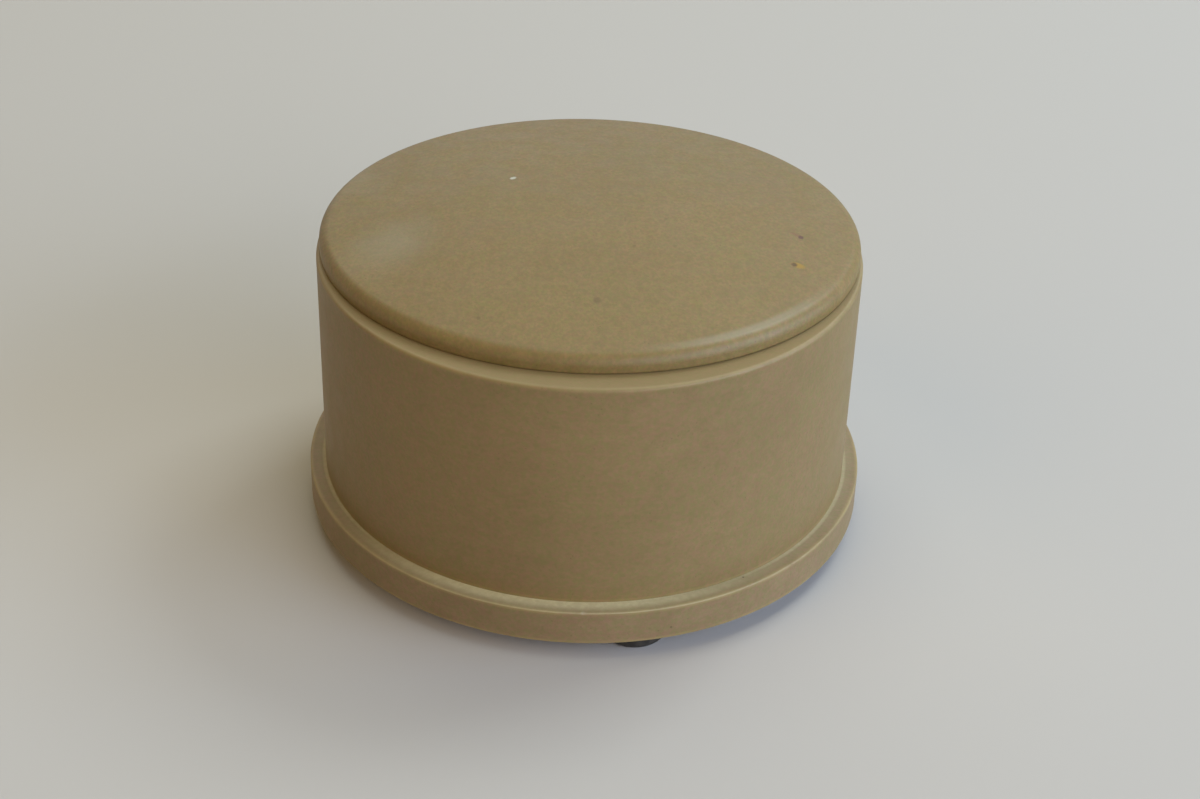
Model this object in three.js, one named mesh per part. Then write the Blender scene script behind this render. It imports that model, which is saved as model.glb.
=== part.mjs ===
// A round trinket box: a turned drum on a wider base disc, four small stick-on feet,
// and a shallow domed lid that lifts off.
// Millimetres, +Z up. The origin is at the middle of the box, on the surface it stands on.
// The front of the box faces -Y, and the grain of the lid runs along X.

import * as THREE from "three";

// The drum: a plain turned ring.
const wallRadius = 50;
const wallHeight = 43.8;
const wallThickness = 7;
const wallArris = 0.6;

// The base disc, which stands out round the drum as a narrow ledge.
const ledgeWidth = 3;
const ledgeFall = 0.13;
const baseThickness = 6.9;
const baseArris = 0.6;
const floorHeight = 1.5;

// The lid, which has shrunk across its grain and lies at the back of its play.
const lidMargin = 0.35;
const lidAcrossGrain = 0.9456;
const lidSide = 1.35;
const lidShoulder = 2.23;
const lidThickness = 7.1;
const lidArris = 0.35;

// The ring under the lid, which keeps the lid over the opening.
const ringClearance = 0.63;
const ringWidth = 4.5;
const ringDepth = 3.5;
const ringArris = 0.5;

// The feet: soft discs near the edge of the base, the first of them near the front.
const footCount = 4;
const footRadius = 6.35;
const footHeight = 3.3;
const footInset = 1.5;
const footTaper = 0.35;
const footRound = 0.9;
const firstFootTurn = 12.3;

// The gap between pieces that fit one inside the other.
const fitGap = 0.3;

// How finely the round shapes are divided.
const turnedSides = 72;
const footSides = 24;
const arrisSteps = 3;
const shoulderSteps = 5;
const domeSteps = 7;

// Sizes and levels that follow from the ones above.
const openingRadius = wallRadius - wallThickness;
const baseRadius = wallRadius + ledgeWidth;
const lidRadius = wallRadius - lidMargin;
const ringRadius = openingRadius - ringClearance;
const seatLevel = footHeight + baseThickness;
const rimLevel = seatLevel + wallHeight;

// The colours of the wood, lighter on the lid, and of the feet.
const drumColour = 0x9a8355;
const lidColour = 0xa48f62;
const footColour = 0x2c2620;

// The way a rounded corner of an outline faces, in quarter turns from outwards.
const upperOuter = 0;
const upperInner = 1;
const lowerInner = 2;
const lowerOuter = 3;

// Points of an arc about a centre, in (radius, height), from one angle to another.
function arc(centreRadius, centreHeight, radius, from, to, steps) {
  const points = [];
  for (let step = 0; step <= steps; step += 1) {
    const angle = from + ((to - from) * step) / steps;
    const outward = centreRadius + radius * Math.cos(angle);
    const upward = centreHeight + radius * Math.sin(angle);
    points.push(new THREE.Vector2(outward, upward));
  }
  return points;
}

// A corner of an outline that is left sharp.
function sharp(radius, height) {
  return [new THREE.Vector2(radius, height)];
}

// A corner of an outline, rounded by a quarter circle towards the way that it faces.
function rounded(radius, height, arris, facing) {
  const start = (facing * Math.PI) / 2;
  const middle = start + Math.PI / 4;
  const centreRadius = radius - arris * Math.sign(Math.cos(middle));
  const centreHeight = height - arris * Math.sign(Math.sin(middle));
  return arc(centreRadius, centreHeight, arris, start, start + Math.PI / 2, arrisSteps);
}

// A turned solid about +Z, from its outline: (radius, height), going out, up and back in.
function turned(outline, sides) {
  const geometry = new THREE.LatheGeometry(outline.flat(), sides);
  geometry.rotateX(Math.PI / 2);
  return geometry;
}

// A mesh under its node's name, with a material of its own.
function piece(name, geometry, materialName, color, roughness) {
  const material = new THREE.MeshStandardMaterial({ name: materialName, color, roughness, metalness: 0 });
  const mesh = new THREE.Mesh(geometry, material);
  mesh.name = name;
  return mesh;
}

// The base disc. Its ledge falls a little outwards, and its raised floor fits inside the drum.
function baseDisc() {
  const floorRadius = openingRadius - fitGap;
  const outline = [
    sharp(0, -baseThickness),
    rounded(baseRadius, -baseThickness, baseArris, lowerOuter),
    rounded(baseRadius, -ledgeFall, baseArris, upperOuter),
    sharp(wallRadius, 0),
    sharp(floorRadius, 0),
    rounded(floorRadius, floorHeight, baseArris, upperOuter),
    sharp(0, floorHeight),
  ];
  const mesh = piece("base_disc", turned(outline, turnedSides), "base_wood", drumColour, 0.55);
  mesh.position.z = seatLevel;
  return mesh;
}

// The drum's wall, glued down on the base disc. Its flat top is the rim that the lid lies on.
function bodyWall() {
  const outline = [
    sharp(openingRadius, 0),
    sharp(wallRadius, 0),
    rounded(wallRadius, wallHeight, wallArris, upperOuter),
    rounded(openingRadius, wallHeight, wallArris, upperInner),
    sharp(openingRadius, 0),
  ];
  const mesh = piece("body_wall", turned(outline, turnedSides), "wall_wood", drumColour, 0.55);
  mesh.position.z = seatLevel;
  return mesh;
}

// One foot, widest where it is stuck to the base. The feet are spaced evenly round the axis.
function foot(number) {
  const outline = [
    sharp(0, 0),
    rounded(footRadius - footTaper, 0, footRound, lowerOuter),
    sharp(footRadius, footHeight),
    sharp(0, footHeight),
  ];
  const mesh = piece(`foot_${number}`, turned(outline, footSides), "foot_rubber", footColour, 0.8);
  const turn = THREE.MathUtils.degToRad(firstFootTurn + ((number - 1) * 360) / footCount);
  const distance = baseRadius - footInset - footRadius;
  mesh.position.set(distance * Math.sin(turn), -distance * Math.cos(turn), 0);
  return mesh;
}

// The lid, in its own frame, with its underside at height 0. A low dome runs into a
// rounded shoulder, which runs down into a short upright side.
function lidCover() {
  const domeReach = lidRadius - lidShoulder;
  const domeRise = lidThickness - lidSide - lidShoulder;
  const slope = 2 * Math.atan(domeRise / domeReach);
  const centreToShoulder = domeReach / Math.sin(slope);
  const domeRadius = centreToShoulder + lidShoulder;
  const domeCentre = lidSide - centreToShoulder * Math.cos(slope);
  const shoulderEnd = Math.PI / 2 - slope;
  const outline = [
    sharp(0, 0),
    rounded(lidRadius, 0, lidArris, lowerOuter),
    arc(domeReach, lidSide, lidShoulder, 0, shoulderEnd, shoulderSteps),
    arc(0, domeCentre, domeRadius, shoulderEnd, Math.PI / 2, domeSteps).slice(1, -1),
    sharp(0, lidThickness),
  ];
  return piece("lid", turned(outline, turnedSides), "lid_wood", lidColour, 0.5);
}

// The locating ring, glued under the lid.
function locatingRing() {
  const innerRadius = ringRadius - ringWidth;
  const outline = [
    sharp(innerRadius, 0),
    rounded(innerRadius, -ringDepth, ringArris, lowerInner),
    rounded(ringRadius, -ringDepth, ringArris, lowerOuter),
    sharp(ringRadius, 0),
    sharp(innerRadius, 0),
  ];
  return piece("lid_locating_ring", turned(outline, turnedSides), "ring_wood", lidColour, 0.55);
}

// How far back the lid lies: as far as its narrowed ring can go inside the round opening
// before two places on it come within the fit gap of the wall.
function lidSetBack() {
  const reach = openingRadius - fitGap;
  const spare = reach ** 2 - ringRadius ** 2;
  return Math.sqrt(spare * (1 - lidAcrossGrain ** 2));
}

// The lid and its ring, both narrowed across the grain, lying on the rim.
function lidGroup() {
  const group = new THREE.Group();
  group.position.set(0, lidSetBack(), rimLevel);
  for (const mesh of [lidCover(), locatingRing()]) {
    mesh.geometry.scale(1, lidAcrossGrain, 1);
    group.add(mesh);
  }
  return group;
}

const trinketBox = new THREE.Group();
trinketBox.add(baseDisc());
trinketBox.add(bodyWall());
for (let number = 1; number <= footCount; number += 1) {
  trinketBox.add(foot(number));
}
trinketBox.add(lidGroup());

export default trinketBox;
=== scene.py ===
# A round wooden trinket box: a drum on a wider base disc, a low domed lid that lifts off,
# and four small soft feet. Metres, +Z up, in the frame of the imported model.
# The front of the box faces -Y, and the grain of the wood runs along X.

import math

import bpy
import numpy as np
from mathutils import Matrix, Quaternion, Vector


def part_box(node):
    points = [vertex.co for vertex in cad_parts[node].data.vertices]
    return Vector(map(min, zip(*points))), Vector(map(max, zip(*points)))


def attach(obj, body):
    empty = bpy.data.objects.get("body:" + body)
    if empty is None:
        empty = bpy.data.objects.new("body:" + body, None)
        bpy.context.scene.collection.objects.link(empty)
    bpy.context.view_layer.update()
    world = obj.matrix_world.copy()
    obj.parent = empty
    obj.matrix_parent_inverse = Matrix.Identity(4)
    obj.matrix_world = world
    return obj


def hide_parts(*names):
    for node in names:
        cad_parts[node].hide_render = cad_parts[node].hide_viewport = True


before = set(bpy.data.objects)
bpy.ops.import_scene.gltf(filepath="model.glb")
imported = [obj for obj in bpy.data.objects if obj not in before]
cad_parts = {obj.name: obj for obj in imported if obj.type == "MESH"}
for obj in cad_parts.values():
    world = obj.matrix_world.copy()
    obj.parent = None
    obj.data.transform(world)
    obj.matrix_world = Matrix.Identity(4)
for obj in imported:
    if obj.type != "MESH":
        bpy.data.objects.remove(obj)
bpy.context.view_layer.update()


# The camera
# It stands in front of the box and looks down on it, a little rolled, as in the photograph.

EYE = Vector((0.0, -0.3408, 0.2367))
AIM = Vector((0.0027, 0.0, 0.0205))
ROLL = math.radians(1.84)
LENS_MM = 62.98
SENSOR_MM = 36.0
NEAREST_SEEN = 0.01

camera = bpy.data.objects.new("camera", bpy.data.cameras.new("camera"))
camera.data.lens = LENS_MM
camera.data.sensor_width = SENSOR_MM
camera.data.clip_start = NEAREST_SEEN
camera.location = EYE
camera.rotation_mode = "QUATERNION"
camera.rotation_quaternion = (AIM - EYE).to_track_quat("-Z", "Y") @ Quaternion((0, 0, 1), ROLL)
bpy.context.scene.collection.objects.link(camera)
bpy.context.scene.camera = camera
bpy.context.scene.view_settings.view_transform = "Standard"


# The studio
# A plain pale floor under wide soft lamps that stand all round, the strongest of them on the right. Away
# from the box the floor passes into a pale backdrop, which the camera and gloss see but nothing is lit by.

FLOOR_COLOUR = (0.63, 0.60, 0.565, 1.0)
BACKDROP_COLOUR = (0.565, 0.567, 0.565, 1.0)
FLOOR_REACH = 4.0
FADE_START = 0.3
FADE_END = 0.75
LAMP_DISTANCE = 1.6
DIM_LIGHT = (1.0, 0.9, 0.6, 1.0)
DIM_STRENGTH = 0.03


def put(tree, kind, inputs=None, **settings):
    """Adds a node to a tree, with its settings, and gives each input a number or links a socket to it."""
    made = tree.nodes.new(kind)
    for name, value in settings.items():
        setattr(made, name, value)
    for name, value in (inputs or {}).items():
        if isinstance(value, bpy.types.NodeSocket):
            tree.links.new(value, made.inputs[name])
        else:
            made.inputs[name].default_value = value
    return made


def spread(tree, value, low, high, start=0.0, end=1.0):
    """Takes a value that runs from low to high, and makes it run smoothly from start to end."""
    limits = {"Value": value, "From Min": low, "From Max": high, "To Min": start, "To Max": end}
    return put(tree, "ShaderNodeMapRange", limits, interpolation_type="SMOOTHSTEP").outputs["Result"]


def reckon(tree, operation, first, second=0.0, third=0.0):
    """One step of arithmetic on numbers or sockets."""
    return put(tree, "ShaderNodeMath", {0: first, 1: second, 2: third}, operation=operation).outputs[0]


def new_material(name):
    """An empty material; returns it with its node tree and its output node."""
    material = bpy.data.materials.new(name)
    material.use_nodes = True
    tree = material.node_tree
    tree.nodes.clear()
    return material, tree, put(tree, "ShaderNodeOutputMaterial")


def where_seen(tree):
    """1 for a ray from the camera, or one that gloss or glass throws back, and 0 for the light on things."""
    ray = put(tree, "ShaderNodeLightPath").outputs
    mirrored = reckon(tree, "MAXIMUM", ray["Is Glossy Ray"], ray["Is Transmission Ray"])
    return reckon(tree, "MAXIMUM", ray["Is Camera Ray"], mirrored)


def lay_floor():
    """One flat square at height 0, reaching the same distance to every side."""
    mesh = bpy.data.meshes.new("floor")
    corners = [(x * FLOOR_REACH, y * FLOOR_REACH, 0.0) for x, y in ((-1, -1), (1, -1), (1, 1), (-1, 1))]
    mesh.from_pydata(corners, [], [(0, 1, 2, 3)])
    material, tree, output = new_material("floor")
    matte = {"Base Color": FLOOR_COLOUR, "Roughness": 0.9, "Specular IOR Level": 0.0}
    paint = put(tree, "ShaderNodeBsdfPrincipled", matte)
    backdrop = put(tree, "ShaderNodeEmission", {"Color": BACKDROP_COLOUR})
    place = put(tree, "ShaderNodeTexCoord").outputs["Object"]
    away = put(tree, "ShaderNodeVectorMath", {0: place}, operation="LENGTH").outputs["Value"]
    share = reckon(tree, "MULTIPLY", spread(tree, away, FADE_START, FADE_END), where_seen(tree))
    surface = put(tree, "ShaderNodeMixShader", {0: share, 1: paint.outputs["BSDF"], 2: backdrop.outputs[0]})
    tree.links.new(surface.outputs[0], output.inputs["Surface"])
    mesh.materials.append(material)
    floor = bpy.data.objects.new("floor", mesh)
    bpy.context.scene.collection.objects.link(floor)


def hang_lamp(name, azimuth, elevation, width, height, power, colour):
    """A flat lamp that faces the box, with its size in metres and its power in watts.

    Its azimuth and elevation are in degrees: azimuth 0 is in front of the box and 90 on its right.
    """
    around = math.radians(azimuth)
    above = math.radians(elevation)
    flat = LAMP_DISTANCE * math.cos(above)
    data = bpy.data.lights.new(name, "AREA")
    data.shape = "RECTANGLE"
    data.size = width
    data.size_y = height
    data.energy = power
    data.color = colour
    lamp = bpy.data.objects.new(name, data)
    lamp.location = (flat * math.sin(around), -flat * math.cos(around), LAMP_DISTANCE * math.sin(above))
    lamp.rotation_mode = "QUATERNION"
    lamp.rotation_quaternion = (AIM - lamp.location).to_track_quat("-Z", "Y")
    lamp.visible_camera = False
    bpy.context.scene.collection.objects.link(lamp)


lay_floor()

# Each lamp has its name, azimuth, elevation, width, height, power and colour
hang_lamp("right_front_lamp", 48, 18, 2.2, 1.2, 27.0, (0.865, 0.89, 1.0))
hang_lamp("right_lamp", 78, 20, 1.4, 1.2, 13.0, (0.26, 0.55, 1.0))
hang_lamp("back_right_lamp", 132, 50, 0.6, 0.6, 7.5, (0.86, 0.955, 1.0))
hang_lamp("back_lamp", 180, 42, 1.6, 1.2, 4.2, (1.0, 0.90, 0.65))
hang_lamp("low_back_lamp", 180, 14, 2.0, 1.2, 2.6, (0.40, 0.68, 1.0))
hang_lamp("top_lamp", 180, 80, 1.2, 1.2, 6.4, (0.955, 1.0, 0.86))
hang_lamp("left_lamp", -60, 40, 1.2, 1.2, 4.5, (1.0, 0.66, 0.20))

world = bpy.data.worlds.new("studio")
world.use_nodes = True
world.node_tree.nodes.clear()
dim = put(world.node_tree, "ShaderNodeBackground", {"Color": DIM_LIGHT, "Strength": DIM_STRENGTH})
pale = put(world.node_tree, "ShaderNodeBackground", {"Color": BACKDROP_COLOUR})
shown = {0: where_seen(world.node_tree), 1: dim.outputs[0], 2: pale.outputs[0]}
sky = put(world.node_tree, "ShaderNodeMixShader", shown)
put(world.node_tree, "ShaderNodeOutputWorld", {"Surface": sky.outputs[0]})
bpy.context.scene.world = world


# The base disc
# A plain turned disc, a little wider than the drum, so that a narrow ledge shows all round.
# Its middle is raised into a low floor that the drum's wall fits round.

SIDES = 480
LEDGE_FALL = 0.00013
LEDGE_SLOPE = 2.5
BASE_ARRIS = 0.0003
WALL_THICKNESS = 0.007
FIT_GAP = 0.0003
WEAR_REACH = 0.0006
ARRIS_STEPS = 6
DISC_STEPS = 30
BAND_STEPS = 8
SIDE_STEPS = 12
RISE_STEPS = 4

base_low, base_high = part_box("base_disc")
wall_low, wall_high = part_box("body_wall")
wall_radius = wall_high.x
opening_radius = wall_radius - WALL_THICKNESS


def straight(start, end, steps):
    """Points from start to end, closer together near both ends: the share t is (1 - cos(pi s)) / 2."""
    share = (1 - np.cos(np.pi * np.linspace(0, 1, steps + 1))) / 2
    return np.outer(1 - share, start) + np.outer(share, end)


def arc(centre, radius, first, last, steps):
    """Points at centre + radius (cos a, sin a), with a running evenly from first to last degrees."""
    angle = np.radians(np.linspace(first, last, steps + 1))
    return np.array(centre) + radius * np.stack([np.cos(angle), np.sin(angle)], axis=1)


def outline_of(*stretches):
    """Joins stretches of (radius, height) points, and leaves out each point that repeats the one before."""
    points = np.concatenate(stretches)
    step = np.linalg.norm(np.diff(points, axis=0), axis=1)
    return points[np.concatenate([[True], step > 1e-7])]


def turns_nearby(points, closed):
    """How sharply an outline turns outwards near each of its points, as a share of a right angle.

    The turn at a point is the angle between the edges that meet there. Each point gets the sum of all the
    outward turns, weighted by exp(-(d / WEAR_REACH)^2) of the distance d along the outline.
    """
    edge = np.diff(points, axis=0)
    along = np.concatenate([[0.0], np.cumsum(np.linalg.norm(edge, axis=1))])
    heading = np.unwrap(np.arctan2(edge[:, 1], edge[:, 0]))
    turn = np.zeros(len(points))
    turn[1:-1] = np.diff(heading)
    if closed:
        turn[0] = (heading[0] - heading[-1] + np.pi) % (2 * np.pi) - np.pi
    apart = along[:, None] - along[None, :]
    if closed:
        apart = (apart + along[-1] / 2) % along[-1] - along[-1] / 2
    weight = np.exp(-(apart / WEAR_REACH) ** 2)
    right_angle = np.pi / 2
    return weight @ np.maximum(turn, 0) / right_angle


def turn_piece(name, outline, centre=(0.0, 0.0), across=1.0, sides=SIDES):
    """A surface of revolution as a mesh object.

    The outline's (radius r, height z) goes out, up and back in. Turned through the angle a it gives the
    point (r cos a, across r sin a, z) from the centre. An outline from axis to axis gets one point at each
    pole, and any other is closed on itself. The attribute "arris" says how near a point is to an outer
    edge.
    """
    on_axis = outline[0, 0] < 1e-9
    arris = turns_nearby(outline, not on_axis)
    rings = outline[1:-1] if on_axis else outline[:-1]
    count = len(rings)
    angle = np.linspace(0, 2 * np.pi, sides, endpoint=False)
    x = centre[0] + rings[:, :1] * np.cos(angle)
    y = centre[1] + across * rings[:, :1] * np.sin(angle)
    z = np.repeat(rings[:, 1:], sides, axis=1)
    points = np.stack([x, y, z], axis=-1).reshape(-1, 3)
    ring = np.arange(count if not on_axis else count - 1)[:, None]
    side = np.arange(sides)[None, :]
    next_ring = (ring + 1) % count
    next_side = (side + 1) % sides
    start = ring * sides
    end = next_ring * sides
    corners = [start + side, start + next_side, end + next_side, end + side]
    faces = np.stack(corners, axis=-1).reshape(-1, 4)
    faces = [tuple(face) for face in faces.tolist()]
    arris = np.repeat(arris[1:-1] if on_axis else arris[:-1], sides)
    if on_axis:
        bottom = len(points)
        top = bottom + 1
        last = (count - 1) * sides
        poles = [(*centre, outline[0, 1]), (*centre, outline[-1, 1])]
        points = np.concatenate([points, poles])
        arris = np.concatenate([arris, [0.0, 0.0]])
        faces += [(bottom, (i + 1) % sides, i) for i in range(sides)]
        faces += [(top, last + i, last + (i + 1) % sides) for i in range(sides)]
    mesh = bpy.data.meshes.new(name)
    mesh.from_pydata(points.tolist(), [], faces)
    mesh.polygons.foreach_set("use_smooth", np.ones(len(faces), dtype=bool))
    mesh.attributes.new("arris", "FLOAT", "POINT").data.foreach_set("value", arris.astype(np.float32))
    piece = bpy.data.objects.new(name, mesh)
    bpy.context.scene.collection.objects.link(piece)
    return piece


def new_group(name, takes, gives):
    """An empty node group with sockets, each a name and a kind; returns its tree and its two ends."""
    tree = bpy.data.node_groups.new(name, "ShaderNodeTree")
    for label, kind in takes:
        tree.interface.new_socket(label, in_out="INPUT", socket_type="NodeSocket" + kind)
    for label, kind in gives:
        tree.interface.new_socket(label, in_out="OUTPUT", socket_type="NodeSocket" + kind)
    return tree, put(tree, "NodeGroupInput"), put(tree, "NodeGroupOutput")


def blend(tree, share, first, second):
    """The first colour where the share is 0, and the second where it is 1."""
    return put(tree, "ShaderNodeMix", {0: share, 6: first, 7: second}, data_type="RGBA").outputs[2]


def stretched(tree, vector, scale):
    """The same place, with each direction scaled."""
    inputs = {"Vector": vector, "Scale": scale}
    return put(tree, "ShaderNodeMapping", inputs, vector_type="POINT").outputs["Vector"]


def dyed(tree, colour, dye):
    """A colour multiplied by another."""
    inputs = {0: 1.0, 6: colour, 7: dye}
    return put(tree, "ShaderNodeMix", inputs, data_type="RGBA", blend_type="MULTIPLY").outputs[2]


def noise(tree, vector, scale, detail=2.0, roughness=0.5):
    """Smooth noise from 0 to 1, with scale bumps to the metre."""
    inputs = {"Vector": vector, "Scale": scale, "Detail": detail, "Roughness": roughness}
    return put(tree, "ShaderNodeTexNoise", inputs).outputs["Fac"]


MOTTLE_TO_METRE = 620.0
STREAKS_TO_METRE = 420.0
STREAK_STRETCH = (0.07, 1.0, 1.0)
PORES_TO_METRE = 1300.0
PORE_CROWDS_TO_METRE = 260.0
FLECK_START = 0.36
FLECK_FULL = 0.68
CROWD_START = 0.42
CROWD_FULL = 0.66
PORE_FULL = 0.08
PORE_EDGE = 0.22


def opened(tree, smooth):
    """Noise keeps mostly between 0.3 and 0.7. This opens it out over 0 to 1."""
    return spread(tree, smooth, 0.3, 0.7)


def make_wood_figure():
    """The figure of a dense, even wood, whose grain runs along X.

    Flecks are the fine brown stipple, and tinge changes from golden to ruddy on the same scale. Mottle is
    the next coarser unevenness, streaks are soft lines along the grain, and pores are pin pricks. The
    stretch draws out all but the streaks.
    """
    tree, start, end = new_group(
        "wood_figure",
        [("Vector", "Vector"), ("Flecks to the metre", "Float"), ("Stretch", "Vector")],
        [(label, "Float") for label in ("Flecks", "Tinge", "Mottle", "Streaks", "Pores")],
    )
    place = start.outputs["Vector"]
    drawn = stretched(tree, place, start.outputs["Stretch"])
    fine = {"Vector": drawn, "Scale": start.outputs["Flecks to the metre"], "Detail": 2.0, "Roughness": 0.6}
    three = put(tree, "ShaderNodeTexNoise", fine).outputs["Color"]
    parts = put(tree, "ShaderNodeSeparateColor", {"Color": three}).outputs
    tree.links.new(spread(tree, parts["Red"], FLECK_START, FLECK_FULL), end.inputs["Flecks"])
    tree.links.new(opened(tree, parts["Green"]), end.inputs["Tinge"])
    tree.links.new(opened(tree, noise(tree, drawn, MOTTLE_TO_METRE, 3.0)), end.inputs["Mottle"])
    long = noise(tree, stretched(tree, place, STREAK_STRETCH), STREAKS_TO_METRE, 3.0, 0.55)
    tree.links.new(opened(tree, long), end.inputs["Streaks"])
    spots = put(tree, "ShaderNodeTexVoronoi", {"Vector": drawn, "Scale": PORES_TO_METRE})
    pricks = spread(tree, spots.outputs["Distance"], PORE_FULL, PORE_EDGE, 1.0, 0.0)
    crowded = spread(tree, noise(tree, place, PORE_CROWDS_TO_METRE, 3.0), CROWD_START, CROWD_FULL)
    tree.links.new(reckon(tree, "MULTIPLY", pricks, crowded), end.inputs["Pores"])
    return tree


def make_clouding():
    """Slow changes over the wood: of tone over centimetres and millimetres, and of hue between the two."""
    gives = [("Wide", "Float"), ("Close", "Float"), ("Hue", "Float")]
    tree, start, end = new_group("clouding", [("Vector", "Vector")], gives)
    place = start.outputs["Vector"]
    for label, to_metre, detail in (("Wide", 38.0, 2.0), ("Close", 240.0, 3.0), ("Hue", 90.0, 4.0)):
        tree.links.new(opened(tree, noise(tree, place, to_metre, detail)), end.inputs[label])
    return tree


def make_turning_lines():
    """Fine lines that the turning tool and the sandpaper leave: noise that changes along one length only."""
    takes = [("Length", "Float"), ("Lines to the metre", "Float")]
    tree, start, end = new_group("turning_lines", takes, [("Lines", "Float")])
    inputs = {"W": start.outputs["Length"], "Scale": start.outputs["Lines to the metre"], "Detail": 3.0}
    lines = put(tree, "ShaderNodeTexNoise", inputs, noise_dimensions="1D")
    tree.links.new(lines.outputs["Fac"], end.inputs["Lines"])
    return tree


WEAR_PATCHES_TO_METRE = 160.0
RAGGED_TO_METRE = 2500.0
RAGGEDNESS = 0.7


def make_worn_and_lit_arris():
    """Where handling has rubbed an outer edge, and where a highlight is painted along it: the edge's own
    mark, broken up by slow noise.
    """
    takes = [("Vector", "Vector"), ("Arris", "Float")]
    tree, start, end = new_group("worn_and_lit_arris", takes, [("Wear and highlight", "Float")])
    slow = noise(tree, start.outputs["Vector"], WEAR_PATCHES_TO_METRE, 3.0)
    patchy = spread(tree, slow, 0.35, 0.6, 0.45, 1.0)
    edge = spread(tree, start.outputs["Arris"], 0.15, 0.9)
    tree.links.new(reckon(tree, "MULTIPLY", edge, patchy), end.inputs["Wear and highlight"])
    return tree


def make_small_mark():
    """A small oval mark on the wood, seen along Z, with a soft and slightly ragged edge."""
    takes = [("Vector", "Vector"), ("Centre", "Vector"), ("Half size", "Vector")]
    takes += [("Turn", "Float"), ("Softness", "Float")]
    tree, start, end = new_group("small_mark", takes, [("Mark", "Float")])
    place = start.outputs["Vector"]
    offset = put(tree, "ShaderNodeVectorMath", {0: place, 1: start.outputs["Centre"]}, operation="SUBTRACT")
    turn = {"Vector": offset.outputs[0], "Angle": start.outputs["Turn"]}
    turned = put(tree, "ShaderNodeVectorRotate", turn)
    shares = {0: turned.outputs[0], 1: start.outputs["Half size"]}
    oval = put(tree, "ShaderNodeVectorMath", shares, operation="DIVIDE")
    reach = put(tree, "ShaderNodeVectorMath", {0: oval.outputs[0]}, operation="LENGTH").outputs["Value"]
    centred = reckon(tree, "ADD", reach, -RAGGEDNESS / 2)
    ragged = reckon(tree, "MULTIPLY_ADD", noise(tree, place, RAGGED_TO_METRE), RAGGEDNESS, centred)
    inner = reckon(tree, "SUBTRACT", 1.0, start.outputs["Softness"])
    outer = reckon(tree, "ADD", 1.0, start.outputs["Softness"])
    tree.links.new(spread(tree, ragged, inner, outer, 1.0, 0.0), end.inputs["Mark"])
    return tree


wood_figure = make_wood_figure()
clouding = make_clouding()
turning_lines = make_turning_lines()
worn_and_lit_arris = make_worn_and_lit_arris()
small_mark = make_small_mark()

FLECKS_TO_METRE = 1600.0
DUST_PATCHES_TO_METRE = 900.0
WIDE_SHARE = 0.4
CLOSE_SHARE = 0.2
HUE_SHARE = 0.2
PORE_SHARE = 0.3
CLOSE_DULLING = 0.08
RUBBED_ROUGHNESS = 0.5
DUSTY_ROUGHNESS = 0.75
RAW_ROUGHNESS = 0.72


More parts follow.
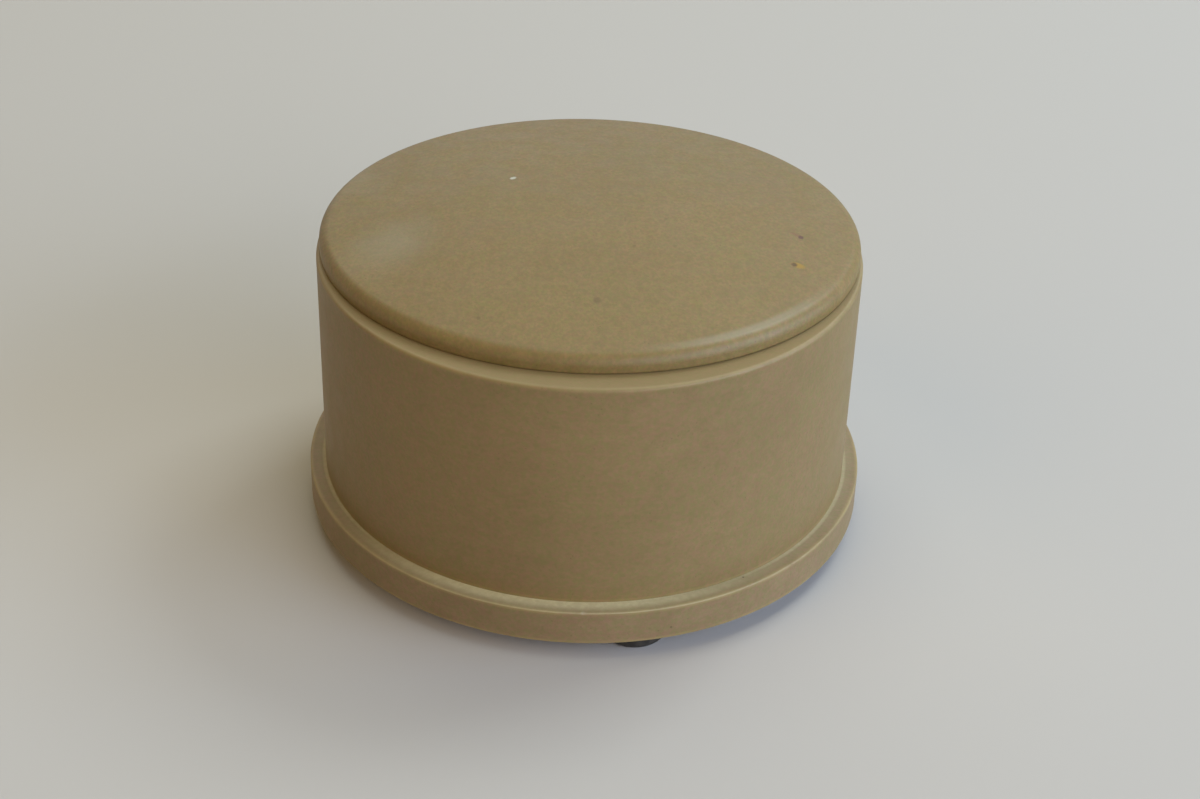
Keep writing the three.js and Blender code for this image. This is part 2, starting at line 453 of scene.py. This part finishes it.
class Wood:
    """The surface of one wooden piece. Each step below changes its colour, roughness or height."""

    def __init__(self, name, pale, deep, stretch, streaks, mottle, flecks, roughness=0.5):
        """Bare wood: its figure and clouds run between a pale and a deep tone, with flecks and pores."""
        self.material, self.tree, self.output = new_material(name)
        self.place = put(self.tree, "ShaderNodeTexCoord").outputs["Object"]
        values = {"Vector": self.place, "Flecks to the metre": FLECKS_TO_METRE, "Stretch": stretch}
        self.figure = put(self.tree, "ShaderNodeGroup", values, node_tree=wood_figure).outputs
        self.clouds = put(self.tree, "ShaderNodeGroup", {"Vector": self.place}, node_tree=clouding).outputs
        tone = 0.5 - (streaks + mottle + WIDE_SHARE + CLOSE_SHARE) / 2
        tone = reckon(self.tree, "MULTIPLY_ADD", self.figure["Streaks"], streaks, tone)
        tone = reckon(self.tree, "MULTIPLY_ADD", self.figure["Mottle"], mottle, tone)
        tone = reckon(self.tree, "MULTIPLY_ADD", self.clouds["Wide"], WIDE_SHARE, tone)
        tone = reckon(self.tree, "MULTIPLY_ADD", self.clouds["Close"], CLOSE_SHARE, tone)
        hue = reckon(self.tree, "MULTIPLY_ADD", self.clouds["Hue"], HUE_SHARE, -HUE_SHARE / 2)
        hue = reckon(self.tree, "ADD", hue, self.figure["Tinge"])
        self.colour = blend(self.tree, tone, deep, pale)
        self.colour = dyed(self.tree, self.colour, blend(self.tree, hue, GOLDEN, RUDDY))
        self.tint(reckon(self.tree, "MULTIPLY", self.figure["Flecks"], flecks), FLECK_COLOUR)
        self.tint(reckon(self.tree, "MULTIPLY", self.figure["Pores"], PORE_SHARE), PORE_COLOUR)
        self.roughness = reckon(self.tree, "MULTIPLY_ADD", self.clouds["Close"], CLOSE_DULLING, roughness)
        self.height = reckon(self.tree, "MULTIPLY", self.figure["Pores"], -PORE_DEPTH)
        self.height = reckon(self.tree, "MULTIPLY_ADD", self.figure["Flecks"], -FLECK_DEPTH, self.height)

    def tint(self, share, colour):
        """Lets a colour take over by a share, from 0 to 1, that may change over the surface."""
        self.colour = blend(self.tree, share, self.colour, colour)

    def roughen(self, share, roughness):
        """Lets a roughness take over by a share."""
        inputs = {0: share, 2: self.roughness, 3: roughness}
        self.roughness = put(self.tree, "ShaderNodeMix", inputs, data_type="FLOAT").outputs[0]

    def turn_on_lathe(self, length, lines_to_metre, depth, share, colour):
        """Leaves turning lines that follow each other along a length, each a little darker in its hollow."""
        values = {"Length": length, "Lines to the metre": lines_to_metre}
        lines = put(self.tree, "ShaderNodeGroup", values, node_tree=turning_lines).outputs["Lines"]
        self.height = reckon(self.tree, "MULTIPLY_ADD", lines, depth, self.height)
        self.tint(spread(self.tree, lines, 0.62, 0.3, 0.0, share), colour)

    def rub_and_light_arris(self, share, colour):
        """Lightens the outer edges, partly as rubbed wear and partly as a painted highlight, and smooths
        them a little.
        """
        edge = put(self.tree, "ShaderNodeAttribute", attribute_name="arris").outputs["Fac"]
        values = {"Vector": self.place, "Arris": edge}
        wear_and_highlight = put(self.tree, "ShaderNodeGroup", values, node_tree=worn_and_lit_arris).outputs["Wear and highlight"]
        self.tint(reckon(self.tree, "MULTIPLY", wear_and_highlight, share), colour)
        self.roughen(wear_and_highlight, RUBBED_ROUGHNESS)

    def settle_dust(self, share, colour):
        """Lets fine pale dust lie on a stretch, thicker in some places than in others."""
        uneven = noise(self.tree, self.place, DUST_PATCHES_TO_METRE, 4.0, 0.65)
        patchy = spread(self.tree, uneven, 0.35, 0.7, 0.8, 1.0)
        lying = reckon(self.tree, "MULTIPLY", share, patchy)
        self.tint(lying, colour)
        self.roughen(lying, DUSTY_ROUGHNESS)

    def leave_raw(self, share, colour):
        """Leaves a stretch unpolished: paler, drier and duller than the outside."""
        self.tint(share, colour)
        self.roughen(share, RAW_ROUGHNESS)

    def mark(self, centre, half_size, turn, softness, share, colour, depth=0.0):
        """Leaves one small mark, with its place and three half sizes in metres and its turn in degrees."""
        values = {
            "Vector": self.place,
            "Centre": centre,
            "Half size": half_size,
            "Turn": math.radians(-turn),
            "Softness": softness,
        }
        mark = put(self.tree, "ShaderNodeGroup", values, node_tree=small_mark).outputs["Mark"]
        self.tint(reckon(self.tree, "MULTIPLY", mark, share), colour)
        if depth:
            self.height = reckon(self.tree, "MULTIPLY_ADD", mark, -depth, self.height)

    def wax(self, piece):
        """Finishes the surface with a thin wax and gives it to a piece."""
        bump = put(self.tree, "ShaderNodeBump", {"Height": self.height, "Strength": 1.0, "Distance": 1.0})
        skin = {
            "Base Color": self.colour,
            "Roughness": self.roughness,
            "Normal": bump.outputs["Normal"],
            "IOR": 1.5,
        }
        wood = put(self.tree, "ShaderNodeBsdfPrincipled", skin)
        self.tree.links.new(wood.outputs["BSDF"], self.output.inputs["Surface"])
        piece.data.materials.append(self.material)


def inside(tree, value, limit, blur):
    """1 where a value is below a limit, and 0 above it, with a short blur between."""
    return spread(tree, value, limit - blur, limit + blur, 1.0, 0.0)


def part_of(tree, place, letter):
    """The X, Y or Z of a place."""
    return put(tree, "ShaderNodeSeparateXYZ", {0: place}).outputs[letter]


def from_axis(tree, place, centre=(0.0, 0.0), across=1.0):
    """The distance of a place from an upright axis. Across is an oval's narrowing, as in turn_piece."""
    inputs = {
        "Vector": place,
        "Location": (-centre[0], -centre[1] / across, 0.0),
        "Scale": (1.0, 1.0 / across, 0.0),
    }
    flat = put(tree, "ShaderNodeMapping", inputs, vector_type="POINT").outputs["Vector"]
    return put(tree, "ShaderNodeVectorMath", {0: flat}, operation="LENGTH").outputs["Value"]


def dust_on_ledge(tree, place, distance, height):
    """How thick dust lies: thicker near the wall, and a thin line along its foot. The tint near the wall is
    also much stronger towards the front.
    """
    near_wall = spread(tree, distance, base_radius - DUST_EDGE, wall_radius + DUST_FULL, 0.3, 0.95)
    in_front = spread(tree, from_axis(tree, place, FRONT_TINT_CENTRE), FRONT_TINT_FULL, FRONT_TINT_END, 1.0, 0.15)
    near_wall_frontward = reckon(tree, "MULTIPLY", near_wall, in_front)
    line = spread(tree, distance, wall_radius + FOOT_LINE_END, wall_radius + FOOT_LINE_FULL, 0.0, 0.5)
    above_side = spread(tree, height, ledge_edge - 0.0003, ledge_edge - 0.0001)
    return reckon(tree, "MULTIPLY", reckon(tree, "MAXIMUM", near_wall_frontward, line), above_side)


seat = wall_low.z
floor_radius = opening_radius - FIT_GAP
base_radius = base_high.x
arris_radius = base_radius - BASE_ARRIS
ledge_edge = seat - LEDGE_FALL
base_disc = turn_piece(
    "base_disc_wood",
    outline_of(
        straight((0.0, base_low.z), (arris_radius, base_low.z), DISC_STEPS),
        arc((arris_radius, base_low.z + BASE_ARRIS), BASE_ARRIS, -90, 0, ARRIS_STEPS),
        straight((base_radius, base_low.z + BASE_ARRIS), (base_radius, ledge_edge - BASE_ARRIS), SIDE_STEPS),
        arc((arris_radius, ledge_edge - BASE_ARRIS), BASE_ARRIS, 0, 90 - LEDGE_SLOPE, ARRIS_STEPS),
        straight((arris_radius, ledge_edge), (wall_radius, seat), BAND_STEPS),
        straight((wall_radius, seat), (floor_radius, seat), BAND_STEPS),
        straight((floor_radius, seat), (floor_radius, base_high.z - BASE_ARRIS), RISE_STEPS),
        arc((floor_radius - BASE_ARRIS, base_high.z - BASE_ARRIS), BASE_ARRIS, 0, 90, ARRIS_STEPS),
        straight((floor_radius - BASE_ARRIS, base_high.z), (0.0, base_high.z), DISC_STEPS),
    ),
)

PALE_BASE = (0.281, 0.199, 0.094, 1.0)
DEEP_BASE = (0.233, 0.159, 0.070, 1.0)
RUDDY = (1.12, 0.96, 1.10, 1.0)
GOLDEN = (0.905, 1.025, 0.83, 1.0)
FLECK_COLOUR = (0.175, 0.11, 0.042, 1.0)
PORE_COLOUR = (0.11, 0.065, 0.025, 1.0)
# Rubbed edges are paler, and this colour also paints a highlight along them
RUBBED_AND_LIT_COLOUR = (0.42, 0.31, 0.12, 1.0)
RAW_COLOUR = (0.36, 0.265, 0.14, 1.0)
DUST_COLOUR = (0.69, 0.62, 0.37, 1.0)
CHIP_COLOUR = (0.45, 0.38, 0.25, 1.0)
ALONG_GRAIN = (0.7, 1.0, 0.85)
PORE_DEPTH = 0.00002
FLECK_DEPTH = 0.000006
LINES_TO_METRE = 2000.0
LINE_DEPTH = 0.000004
RAW_BLUR = 0.0001
DUST_EDGE = 0.0002
DUST_FULL = 0.0008
FRONT_TINT_CENTRE = (-0.008, -0.060)
FRONT_TINT_FULL = 0.015
FRONT_TINT_END = 0.055
FOOT_LINE_FULL = 0.0003
FOOT_LINE_END = 0.0011

base_wood = Wood("base_wood", PALE_BASE, DEEP_BASE, ALONG_GRAIN, streaks=0.3, mottle=0.4, flecks=0.17)
base_distance = from_axis(base_wood.tree, base_wood.place)
base_wood.turn_on_lathe(base_distance, LINES_TO_METRE, LINE_DEPTH, 0.1, DEEP_BASE)
# The base's rubbed edges, with a painted highlight along the ledge's outer edge
base_wood.rub_and_light_arris(0.5, RUBBED_AND_LIT_COLOUR)
base_height = part_of(base_wood.tree, base_wood.place, "Z")
lying = dust_on_ledge(base_wood.tree, base_wood.place, base_distance, base_height)
base_wood.settle_dust(lying, DUST_COLOUR)
base_wood.leave_raw(inside(base_wood.tree, base_height, base_low.z, RAW_BLUR), RAW_COLOUR)
base_wood.leave_raw(inside(base_wood.tree, base_distance, opening_radius, RAW_BLUR), RAW_COLOUR)

# Each mark has its place, three half sizes, its share, its colour and its depth
base_marks = [
    ((0.0007, -0.0530, 0.0101), (0.0006, 0.0005, 0.0003), 0.55, CHIP_COLOUR, 0.00006),
    ((-0.0257, -0.0457, seat), (0.0003, 0.0003, 0.0003), 0.6, CHIP_COLOUR, 0.0),
    ((-0.0143, -0.0518, seat), (0.0003, 0.0002, 0.0003), 0.6, CHIP_COLOUR, 0.0),
    ((0.0289, -0.0415, seat), (0.0002, 0.0002, 0.0002), 0.7, PORE_COLOUR, 0.0),
    ((0.0161, -0.0505, 0.0056), (0.0002, 0.0002, 0.0002), 0.7, PORE_COLOUR, 0.0),
]
for place, half_size, share, colour, depth in base_marks:
    base_wood.mark(place, half_size, turn=0, softness=0.4, share=share, colour=colour, depth=depth)
base_wood.wax(base_disc)
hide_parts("base_disc")
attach(base_disc, "box")


# The drum's wall
# A plain turned ring of the same wood, glued down on the base disc. Its flat top is the rim.

WALL_ARRIS = 0.0006
WALL_STEPS = 36
RIM_STEPS = 16
RIM_BLUR = 0.0003
RIM_SHARE = 0.45
PALE_WALL = (0.262, 0.182, 0.072, 1.0)
DEEP_WALL = (0.221, 0.150, 0.057, 1.0)
RIM_COLOUR = (0.36, 0.275, 0.13, 1.0)

wall_inner_edge = (opening_radius + WALL_ARRIS, wall_high.z - WALL_ARRIS)
wall_outer_edge = (wall_radius - WALL_ARRIS, wall_high.z - WALL_ARRIS)
body_wall = turn_piece(
    "body_wall_wood",
    outline_of(
        straight((opening_radius, seat), (wall_radius, seat), BAND_STEPS),
        straight((wall_radius, seat), (wall_radius, wall_outer_edge[1]), WALL_STEPS),
        arc(wall_outer_edge, WALL_ARRIS, 0, 90, ARRIS_STEPS),
        straight((wall_outer_edge[0], wall_high.z), (wall_inner_edge[0], wall_high.z), RIM_STEPS),
        arc(wall_inner_edge, WALL_ARRIS, 90, 180, ARRIS_STEPS),
        straight((opening_radius, wall_inner_edge[1]), (opening_radius, seat), WALL_STEPS),
    ),
)
wall_wood = Wood("wall_wood", PALE_WALL, DEEP_WALL, ALONG_GRAIN, streaks=0.25, mottle=0.35, flecks=0.17)
wall_height = part_of(wall_wood.tree, wall_wood.place, "Z")
wall_wood.turn_on_lathe(wall_height, LINES_TO_METRE, LINE_DEPTH, 0.1, DEEP_WALL)
# The rim's rubbed edges, with a painted highlight along them
wall_wood.rub_and_light_arris(0.3, RUBBED_AND_LIT_COLOUR)
wall_distance = from_axis(wall_wood.tree, wall_wood.place)
hollow = inside(wall_wood.tree, wall_distance, opening_radius + WALL_ARRIS / 2, 2 * RAW_BLUR)
wall_wood.leave_raw(hollow, RAW_COLOUR)
on_rim = spread(wall_wood.tree, wall_height, wall_high.z - RIM_BLUR, wall_high.z, 0.0, RIM_SHARE)
wall_wood.tint(on_rim, RIM_COLOUR)
wall_wood.wax(body_wall)
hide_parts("body_wall")
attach(body_wall, "box")


# The lid
# Turned with a low dome and a rounded shoulder. It has shrunk across its grain, so it is a little oval,
# and it lies loose on the rim, pushed to the back of its play.

LID_SIDE = 0.00135
LID_SHOULDER = 0.00223
LID_ARRIS = 0.00035
SEAM_GAP = 0.00003
LID_EDGE_STEPS = 5
SHOULDER_STEPS = 16
DOME_STEPS = 48
PALE_LID = (0.258, 0.182, 0.058, 1.0)
DEEP_LID = (0.213, 0.145, 0.043, 1.0)

lid_low, lid_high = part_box("lid")
lid_radius = lid_high.x
lid_across = (lid_high.y - lid_low.y) / 2 / lid_radius
lid_centre = (0.0, (lid_high.y + lid_low.y) / 2)
underside = lid_low.z + SEAM_GAP


def dome_outline():
    """The lid's outline. The dome is an arc about a point on the axis that meets the shoulder's arc in line.

    With reach as the shoulder's centre and rise as the dome's height above the shoulder's top, the slope
    where they meet is 2 atan(rise / reach), and the dome's centre lies reach / tan(slope) below the
    shoulder's.
    """
    reach = lid_radius - LID_SHOULDER
    shoulder_height = lid_low.z + LID_SIDE
    rise = lid_high.z - shoulder_height - LID_SHOULDER
    slope = 2 * math.atan(rise / reach)
    dome_centre = (0.0, shoulder_height - reach / math.tan(slope))
    dome_radius = lid_high.z - dome_centre[1]
    meeting = 90 - math.degrees(slope)
    return outline_of(
        straight((0.0, underside), (lid_radius - LID_ARRIS, underside), DISC_STEPS),
        arc((lid_radius - LID_ARRIS, underside + LID_ARRIS), LID_ARRIS, -90, 0, LID_EDGE_STEPS),
        straight((lid_radius, underside + LID_ARRIS), (lid_radius, shoulder_height), LID_EDGE_STEPS),
        arc((reach, shoulder_height), LID_SHOULDER, 0, meeting, SHOULDER_STEPS),
        arc(dome_centre, dome_radius, meeting, 90, DOME_STEPS),
    )


lid = turn_piece("lid_wood", dome_outline(), lid_centre, lid_across)
lid_wood = Wood(
    "lid_wood",
    PALE_LID,
    DEEP_LID,
    stretch=(1.0, 0.75, 1.0),
    streaks=0.12,
    mottle=0.6,
    flecks=0.42,
    roughness=0.47,
)
lid_distance = from_axis(lid_wood.tree, lid_wood.place, lid_centre, lid_across)
lid_wood.turn_on_lathe(lid_distance, lines_to_metre=2200.0, depth=0.000003, share=0.06, colour=DEEP_LID)
lid_height = part_of(lid_wood.tree, lid_wood.place, "Z")
lid_wood.leave_raw(inside(lid_wood.tree, lid_height, underside, RAW_BLUR), RAW_COLOUR)

PAINTED_SHEEN = (0.40, 0.36, 0.26, 1.0)
GARNET = (0.09, 0.025, 0.02, 1.0)
CHALK = (0.60, 0.60, 0.52, 1.0)
SMUDGE = (0.13, 0.075, 0.02, 1.0)
RUST = (0.36, 0.21, 0.02, 1.0)
UMBER = (0.07, 0.03, 0.006, 1.0)
MADDER = (0.22, 0.05, 0.035, 1.0)

# Each mark has its place, two half sizes, its turn, its softness, its share and its colour
dome_marks = [
    # The first two marks are painted reflections: pale patches of sheen on the dome
    ((-0.0458, 0.0169), (0.0045, 0.0060), 20, 0.9, 0.16, PAINTED_SHEEN),
    ((-0.0356, -0.0111), (0.0055, 0.0075), -30, 0.9, 0.25, PAINTED_SHEEN),
    ((-0.0148, 0.0135), (0.00060, 0.00042), 40, 0.4, 0.85, CHALK),
    ((0.0014, -0.0297), (0.0006, 0.0008), 0, 0.5, 0.6, SMUDGE),
    ((-0.0185, -0.0349), (0.0003, 0.0005), 0, 0.5, 0.55, SMUDGE),
    ((0.0369, -0.0139), (0.0012, 0.0008), -27, 0.4, 0.9, RUST),
    ((0.0362, -0.0138), (0.0005, 0.0006), 0, 0.5, 0.85, UMBER),
    ((0.0373, -0.0030), (0.0011, 0.0005), -35, 0.7, 0.4, MADDER),
    ((0.0381, -0.0037), (0.0005, 0.0006), 0, 0.4, 0.85, GARNET),
    ((0.0136, -0.0018), (0.0003, 0.0005), 0, 0.5, 0.4, SMUDGE),
    ((0.0078, -0.0123), (0.0003, 0.0005), 0, 0.5, 0.35, SMUDGE),
    ((0.0151, -0.0115), (0.0003, 0.0005), 0, 0.5, 0.35, SMUDGE),
    ((0.0062, -0.0027), (0.0002, 0.0009), 0, 0.5, 0.3, SMUDGE),
]
for (x, y), (along, across), turn, softness, share, colour in dome_marks:
    lid_wood.mark((x, y, lid_high.z), (along, across, lid_high.z), turn, softness, share, colour)

# A painted sheen, pale as a reflection, lies on the upper shoulder at the right front
SHEEN_PLACE = (0.028, -0.035)
SHEEN_FULL = 0.004
SHEEN_END = 0.024
SHEEN_SHARE = 0.4

past_dome = spread(lid_wood.tree, lid_distance, lid_radius - 0.0036, lid_radius - 0.0022)
above_edge = spread(lid_wood.tree, lid_distance, lid_radius - 0.0008, lid_radius - 0.0018)
upper_shoulder = reckon(lid_wood.tree, "MULTIPLY", past_dome, above_edge)
from_sheen_place = from_axis(lid_wood.tree, lid_wood.place, SHEEN_PLACE)
painted_sheen = spread(lid_wood.tree, from_sheen_place, SHEEN_FULL, SHEEN_END, SHEEN_SHARE, 0.0)
lid_wood.tint(reckon(lid_wood.tree, "MULTIPLY", upper_shoulder, painted_sheen), PAINTED_SHEEN)
lid_wood.wax(lid)
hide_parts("lid")
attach(lid, "lid")


# The locating ring
# A turned ring of the same wood, glued under the lid, that hangs inside the rim and keeps the lid in place.

RING_WIDTH = 0.0045
RING_ARRIS = 0.0005
RING_STEPS = 6

ring_low, ring_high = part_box("lid_locating_ring")
ring_radius = ring_high.x
ring_inner = ring_radius - RING_WIDTH
ring_round_height = ring_low.z + RING_ARRIS
locating_ring = turn_piece(
    "locating_ring_wood",
    outline_of(
        straight((ring_inner, ring_high.z), (ring_inner, ring_round_height), RING_STEPS),
        arc((ring_inner + RING_ARRIS, ring_round_height), RING_ARRIS, 180, 270, LID_EDGE_STEPS),
        straight((ring_inner + RING_ARRIS, ring_low.z), (ring_radius - RING_ARRIS, ring_low.z), BAND_STEPS),
        arc((ring_radius - RING_ARRIS, ring_round_height), RING_ARRIS, 270, 360, LID_EDGE_STEPS),
        straight((ring_radius, ring_round_height), (ring_radius, ring_high.z), RING_STEPS),
        straight((ring_radius, ring_high.z), (ring_inner, ring_high.z), RING_STEPS),
    ),
    lid_centre,
    (ring_high.y - ring_low.y) / 2 / ring_radius,
)
ring_wood = Wood("ring_wood", PALE_LID, DEEP_LID, ALONG_GRAIN, streaks=0.3, mottle=0.5, flecks=0.15)
ring_wood.leave_raw(1.0, RAW_COLOUR)
ring_height = part_of(ring_wood.tree, ring_wood.place, "Z")
ring_wood.turn_on_lathe(ring_height, LINES_TO_METRE, depth=0.000006, share=0.2, colour=DEEP_LID)
ring_wood.rub_and_light_arris(0.3, RUBBED_AND_LIT_COLOUR)
ring_wood.wax(locating_ring)
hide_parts("lid_locating_ring")
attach(locating_ring, "lid")


# The feet
# Four soft dark discs, stuck under the base near its edge, a quarter turn apart.

FOOT_TAPER = 0.00035
FOOT_ROUND = 0.0009
FOOT_SIDES = 96
FOOT_DISC_STEPS = 10
FOOT_SIDE_STEPS = 8
RUBBER_COLOUR = (0.022, 0.018, 0.013, 1.0)
DUSTY_RUBBER = (0.06, 0.052, 0.04, 1.0)
RUBBER_DUST_TO_METRE = 700.0
RUBBER_GRAIN_TO_METRE = 4000.0
RUBBER_GRAIN_DEPTH = 0.00002


def make_rubber():
    """Dull dark rubber with a fine grain, greyed by dust."""
    material, tree, output = new_material("foot_rubber")
    place = put(tree, "ShaderNodeTexCoord").outputs["Object"]
    dust = spread(tree, noise(tree, place, RUBBER_DUST_TO_METRE, 4.0, 0.6), 0.4, 0.75)
    grain = reckon(tree, "MULTIPLY", noise(tree, place, RUBBER_GRAIN_TO_METRE), RUBBER_GRAIN_DEPTH)
    bump = put(tree, "ShaderNodeBump", {"Height": grain, "Distance": 1.0})
    skin = {
        "Base Color": blend(tree, dust, RUBBER_COLOUR, DUSTY_RUBBER),
        "Roughness": spread(tree, dust, 0.0, 1.0, 0.6, 0.85),
        "Normal": bump.outputs["Normal"],
    }
    rubber = put(tree, "ShaderNodeBsdfPrincipled", skin)
    tree.links.new(rubber.outputs["BSDF"], output.inputs["Surface"])
    return material


foot_rubber = make_rubber()
for number in range(1, 5):
    foot_low, foot_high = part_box(f"foot_{number}")
    foot_radius = (foot_high.x - foot_low.x) / 2
    tread = foot_radius - FOOT_TAPER
    foot = turn_piece(
        f"foot_{number}_rubber",
        outline_of(
            straight((0.0, foot_low.z), (tread - FOOT_ROUND, foot_low.z), FOOT_DISC_STEPS),
            arc((tread - FOOT_ROUND, foot_low.z + FOOT_ROUND), FOOT_ROUND, -90, 0, FOOT_SIDE_STEPS),
            straight((tread, foot_low.z + FOOT_ROUND), (foot_radius, foot_high.z), FOOT_SIDE_STEPS),
            straight((foot_radius, foot_high.z), (0.0, foot_high.z), FOOT_DISC_STEPS),
        ),
        ((foot_low.x + foot_high.x) / 2, (foot_low.y + foot_high.y) / 2),
        sides=FOOT_SIDES,
    )
    foot.data.materials.append(foot_rubber)
    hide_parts(f"foot_{number}")
    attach(foot, "box")


bpy.context.view_layer.update()
